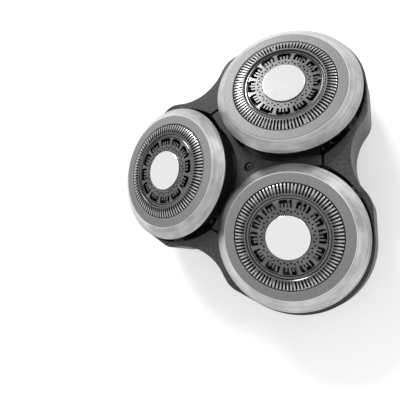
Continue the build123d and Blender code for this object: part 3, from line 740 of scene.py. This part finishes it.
def coil_mesh(name, radius, bottom, top):
    """Round wire wound into a compression spring with closed ends, about z."""
    shape = bmesh.new()
    steps = SPRING_TURNS * STEPS_PER_TURN
    rings = []
    for i in range(steps + 1):
        share = i / steps
        angle = 2 * math.pi * i / STEPS_PER_TURN
        eased = share - END_CLOSING * math.sin(2 * math.pi * share)
        height = bottom + SPRING_WIRE + (top - bottom - 2 * SPRING_WIRE) * eased
        out = Vector((math.cos(angle), math.sin(angle), 0))
        middle = out * radius + Vector((0, 0, height))
        ring = []
        for s in range(WIRE_SIDES):
            turn = 2 * math.pi * s / WIRE_SIDES
            up = Vector((0, 0, SPRING_WIRE * math.sin(turn)))
            ring.append(shape.verts.new(middle + out * SPRING_WIRE * math.cos(turn) + up))
        rings.append(ring)
    for low, high in zip(rings, rings[1:]):
        for s in range(WIRE_SIDES):
            t = (s + 1) % WIRE_SIDES
            shape.faces.new((low[s], low[t], high[t], high[s]))
    shape.faces.new(rings[0][::-1])
    shape.faces.new(rings[-1])
    bmesh.ops.recalc_face_normals(shape, faces=shape.faces)
    return mesh_from(shape, name)


class SHAVER_OT_springs(bpy.types.Operator):
    """Round-wire springs under the drive tips"""

    bl_idname = "shaver.springs"
    bl_label = "Tip Springs"

    def execute(self, context):
        for number in HEADS:
            low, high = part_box(f"tip_spring_{number}")
            radius = (high.x - low.x) / 2 - SPRING_WIRE
            mesh_data = coil_mesh(f"tip_spring_{number}_wound", radius, low.z, high.z)
            place = Matrix.Translation(((low.x + high.x) / 2, (low.y + high.y) / 2, 0))
            piece = new_piece(f"tip_spring_{number}_wound", mesh_data, "spring_steel",
                              f"drive_gear_{number}", [f"tip_spring_{number}"], place)
            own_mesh(piece)
        return {"FINISHED"}


# Finishes of a head's CAD solids that are shown as they are
HEAD_FINISHES = {
    "cutter": "cutter_steel", "cutter_hub": "gear_nylon", "ring_holder": "holder_plastic",
    "retainer": "screw_steel", "drive_gear": "gear_nylon", "drive_tip": "tip_plastic",
}


class SHAVER_OT_drive(bpy.types.Operator):
    """Cutters, hubs, ring holders, retainers, gears, tips and the gear plate"""

    bl_idname = "shaver.drive"
    bl_label = "Drive and Holders"

    def execute(self, context):
        for number in HEADS:
            for node, key in HEAD_FINISHES.items():
                dress(f"{node}_{number}", key)
        dress("centre_gear", "gear_nylon")
        dress("gear_plate", "plate_plastic")
        return {"FINISHED"}


class SHAVER_OT_housing(bpy.types.Operator):
    """Frame, island and base"""

    bl_idname = "shaver.housing"
    bl_label = "Housing"

    def execute(self, context):
        for node in ("frame", "centre_island"):
            dress(node, "body_plastic")
        # The base gets the body's plastic darkened: painted shade.
        dress("base_housing", "base_plastic")
        return {"FINISHED"}


# Screws, in millimetres: radius and height of the head, and radius of the shank
CENTRE_SCREW = (0.94, 0.35, 0.6)
PLATE_SCREW = (1.5, 0.8, 0.75)
HOUSING_SCREW = (1.3, 0.9, 0.8)
CENTRE_SCREW_SUNK = 0.25     # how far the centre screw's head lies below the top of its CAD solid
PLATE_SCREW_CIRCLE = 11.0 * MM
HOUSING_SCREW_CIRCLE = 16.6 * MM
SCREW_AZIMUTHS = (0, 120, 240)  # degrees round the axis at which the plate's and the base's screws stand
HEAD_CROWN = 0.12            # height of a head's rounded top
THREAD_PITCH = 0.4
THREAD_ROOT = 0.8            # radius between two threads, as a share of the shank's
THREAD_FLANK = 0.12
SCREW_STEPS = 48

# Cross recess, as shares of the head's radius and height
CROSS_REACH = 0.62
CROSS_WIDTH = 0.24
CROSS_DEPTH = 0.75
CROSS_TURN = 0.5             # radians by which the cross is turned
CROSS_TAPER = (0.45, 0.6)    # length and width at its foot, as shares of those at its top
CROSS_OPEN = 0.1             # how far its cutter stands above the head, in millimetres


def screw_profile(head, head_height, shank, length):
    """Section of a screw, with its head's top at height 0 and its tip below."""
    points = [(0, 0), (head * 0.62, -0.01), (head * 0.9, -HEAD_CROWN * 0.5), (head, -HEAD_CROWN),
              (head, -head_height), (shank, -head_height)]
    turns = int((length - head_height - 2 * shank) / THREAD_PITCH)
    for i in range(turns):
        level = -head_height - shank - i * THREAD_PITCH
        points += [(shank * THREAD_ROOT, level - THREAD_FLANK), (shank, level - THREAD_PITCH / 2)]
    return in_metres(points + [(shank * 0.35, -length + 0.15), (0, -length)])


def recess_cutter(head, head_height, turn):
    """One tapered arm pair of a driver's cross, open above the head."""
    shape = bmesh.new()
    bmesh.ops.create_cube(shape, size=1.0)
    for vert in shape.verts:
        low = vert.co.z < 0
        vert.co.x *= 2 * head * CROSS_REACH * (CROSS_TAPER[0] if low else 1.0)
        vert.co.y *= head * CROSS_WIDTH * (CROSS_TAPER[1] if low else 1.0)
        vert.co.z = -head_height * CROSS_DEPTH if low else CROSS_OPEN
    bmesh.ops.rotate(shape, verts=shape.verts, matrix=Matrix.Rotation(turn, 3, "Z"))
    bmesh.ops.scale(shape, verts=shape.verts, vec=(MM, MM, MM))
    return linked("recess_cutter", mesh_from(shape, "recess_cutter"))


def screws_mesh(name, sizes_mm, length, places):
    """One mesh of like cross-recessed screws at several places; the two arm pairs are cut in turn, because
    a cutter whose solids overlap leaves nothing."""
    head, head_height, shank = sizes_mm
    profile = screw_profile(head, head_height, shank, length)
    master = lathe_mesh(name, profile, SCREW_STEPS, closed=False)
    for turn in (CROSS_TURN, CROSS_TURN + math.pi / 2):
        master = cut_away(master, recess_cutter(head, head_height, turn))
    shape = bmesh.new()
    for place in places:
        start = len(shape.verts)
        shape.from_mesh(master)
        shape.verts.ensure_lookup_table()
        bmesh.ops.transform(shape, matrix=place, verts=shape.verts[start:])
    return mesh_from(shape, name)


def add_screws(node, sizes_mm, length, places):
    """Adds the screws that stand for one CAD node."""
    mesh_data = screws_mesh(f"{node}_cross", sizes_mm, length, places)
    new_piece(f"{node}_cross", mesh_data, "screw_steel", "base", [node])


class SHAVER_OT_screws(bpy.types.Operator):
    """Cross-recessed screws in the island, the gear plate and the base"""

    bl_idname = "shaver.screws"
    bl_label = "Screws"

    def execute(self, context):
        turns = [Matrix.Rotation(math.radians(azimuth), 4, "Z") for azimuth in SCREW_AZIMUTHS]
        low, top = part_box("centre_screw")
        length = (top.z - low.z) / MM - CENTRE_SCREW_SUNK
        place = Matrix.Translation((0, 0, top.z - CENTRE_SCREW_SUNK * MM))
        add_screws("centre_screw", CENTRE_SCREW, length, [place])
        low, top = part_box("plate_screws")
        places = [turn @ Matrix.Translation((PLATE_SCREW_CIRCLE, 0, top.z)) for turn in turns]
        add_screws("plate_screws", PLATE_SCREW, (top.z - low.z) / MM, places)
        low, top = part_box("housing_screws")
        flip = Matrix.Rotation(math.pi, 4, "X")
        places = [turn @ Matrix.Translation((HOUSING_SCREW_CIRCLE, 0, low.z)) @ flip for turn in turns]
        add_screws("housing_screws", HOUSING_SCREW, (top.z - low.z) / MM, places)
        return {"FINISHED"}


# The camera as fitted to the photo: its place in millimetres, its three axes and its lens in millimetres
CAMERA_PLACE = (29.53, -21.60, 110.06)
CAMERA_RIGHT = (0.9105, 0.0020, -0.4135)
CAMERA_UP = (0.0611, 0.9884, 0.1393)
CAMERA_BACK = (0.4090, -0.1522, 0.8998)
CAMERA_LENS = 40.81
SENSOR_WIDTH = 36.0
NEAREST_SEEN = 1.0 * MM
FLOOR_HALF = 1.5             # half the floor's side, in metres
LIT_POINT = (0, 0, 15 * MM)  # where the lamps aim
WORLD_LEVEL = 0.60           # world light on the object; seen directly the world is white
FLOOR_LIFT = 0.42            # lifts the lit floor to white where it is seen, and keeps the shadow


def seen_level(tree, socket, hidden, seen):
    """Feeds a socket one value for camera, glossy and transmission rays and another for all others."""
    path = tree.nodes.new("ShaderNodeLightPath")
    ray = path.outputs["Is Camera Ray"]
    for output in ("Is Glossy Ray", "Is Transmission Ray"):
        largest = tree.nodes.new("ShaderNodeMath")
        largest.operation = "MAXIMUM"
        tree.links.new(ray, largest.inputs[0])
        tree.links.new(path.outputs[output], largest.inputs[1])
        ray = largest.outputs[0]
    level = tree.nodes.new("ShaderNodeMapRange")
    level.inputs["To Min"].default_value = hidden
    level.inputs["To Max"].default_value = seen
    tree.links.new(ray, level.inputs["Value"])
    tree.links.new(level.outputs["Result"], socket)


def pale_floor():
    """Pale matt floor that the camera and reflections see as white, with the object's shadow kept."""
    nodes = Nodes("pale_floor")
    cloud = nodes.noise(nodes.object_place(), scale=6.0, detail=2.0)
    nodes.set(Base_Color=nodes.mottled(cloud, 0.3, 0.7, (1, 1, 1), dark=0.86, bright=0.88), Roughness=0.9,
              Specular_IOR_Level=0.1, Emission_Color=(1, 1, 1, 1))
    seen_level(nodes.tree, nodes.shader.inputs["Emission Strength"], 0.0, FLOOR_LIFT)
    return nodes.material


def white_world():
    """White for the camera and in reflections, plain level for the light on the object."""
    world = bpy.data.worlds.new("studio")
    bpy.context.scene.world = world
    world.use_nodes = True
    background = world.node_tree.nodes["Background"]
    background.inputs["Color"].default_value = (1, 1, 1, 1)
    seen_level(world.node_tree, background.inputs["Strength"], WORLD_LEVEL, 1.0)


def soft_lamp(name, place, size, power):
    """Square area lamp aimed at the object; place and size in metres, power in watts."""
    lamp = bpy.data.lights.new(name, "AREA")
    lamp.shape = "SQUARE"
    lamp.size = size
    lamp.energy = power
    away = Vector(place) - Vector(LIT_POINT)
    turn = away.to_track_quat("Z", "Y").to_matrix().to_4x4()
    linked(name, lamp).matrix_world = Matrix.Translation(place) @ turn


def photo_camera():
    """Camera at the fitted place."""
    camera = linked("camera", bpy.data.cameras.new("camera"))
    turn = Matrix((CAMERA_RIGHT, CAMERA_UP, CAMERA_BACK)).transposed().to_4x4()
    camera.matrix_world = Matrix.Translation(Vector(CAMERA_PLACE) * MM) @ turn
    camera.data.sensor_width = SENSOR_WIDTH
    camera.data.lens = CAMERA_LENS
    camera.data.clip_start = NEAREST_SEEN
    return camera


class SHAVER_OT_stage(bpy.types.Operator):
    """Floor, light, world and camera"""

    bl_idname = "shaver.stage"
    bl_label = "Stage"

    def execute(self, context):
        context.scene.view_settings.view_transform = "Standard"
        shape = bmesh.new()
        bmesh.ops.create_grid(shape, x_segments=1, y_segments=1, size=FLOOR_HALF)
        floor = linked("floor", mesh_from(shape, "floor"))
        floor.location.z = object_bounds()[0][2]
        floor.data.materials.append(pale_floor())
        floor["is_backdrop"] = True
        white_world()
        soft_lamp("key_light", place=(-0.246, 0.649, 0.598), size=0.25, power=5.6)
        soft_lamp("side_light", place=(0.40, 0.34, 0.14), size=0.20, power=0.38)
        context.scene.camera = photo_camera()
        return {"FINISHED"}


class SHAVER_PT_panel(bpy.types.Panel):
    """Lists the sizes, colours and pieces"""

    bl_idname = "SHAVER_PT_panel"
    bl_label = "Shaver Head"
    bl_space_type = "VIEW_3D"
    bl_region_type = "UI"
    bl_category = "Shaver Head"

    def draw(self, context):
        layout = self.layout
        for group in (context.scene.shaver_sizes, context.scene.shaver_colours):
            for key in group.__annotations__:
                layout.prop(group, key)
        for operator in OPERATORS:
            layout.operator(operator.bl_idname)


OPERATORS = (
    SHAVER_OT_stage,
    SHAVER_OT_glide_rings,
    SHAVER_OT_guards,
    SHAVER_OT_cap_discs,
    SHAVER_OT_springs,
    SHAVER_OT_drive,
    SHAVER_OT_housing,
    SHAVER_OT_screws,
)
CLASSES = (ShaverSizes, ShaverColours) + OPERATORS + (SHAVER_PT_panel,)


def register():
    for cls in CLASSES:
        bpy.utils.register_class(cls)
    bpy.types.Scene.shaver_sizes = PointerProperty(type=ShaverSizes)
    bpy.types.Scene.shaver_colours = PointerProperty(type=ShaverColours)


def unregister():
    del bpy.types.Scene.shaver_colours
    del bpy.types.Scene.shaver_sizes
    for cls in reversed(CLASSES):
        bpy.utils.unregister_class(cls)


def main():
    """Builds the stage and every piece in order."""
    register()
    bpy.ops.shaver.stage()
    bpy.ops.shaver.glide_rings()
    bpy.ops.shaver.guards()
    bpy.ops.shaver.cap_discs()
    bpy.ops.shaver.springs()
    bpy.ops.shaver.drive()
    bpy.ops.shaver.housing()
    bpy.ops.shaver.screws()


if __name__ == "__main__":
    main()
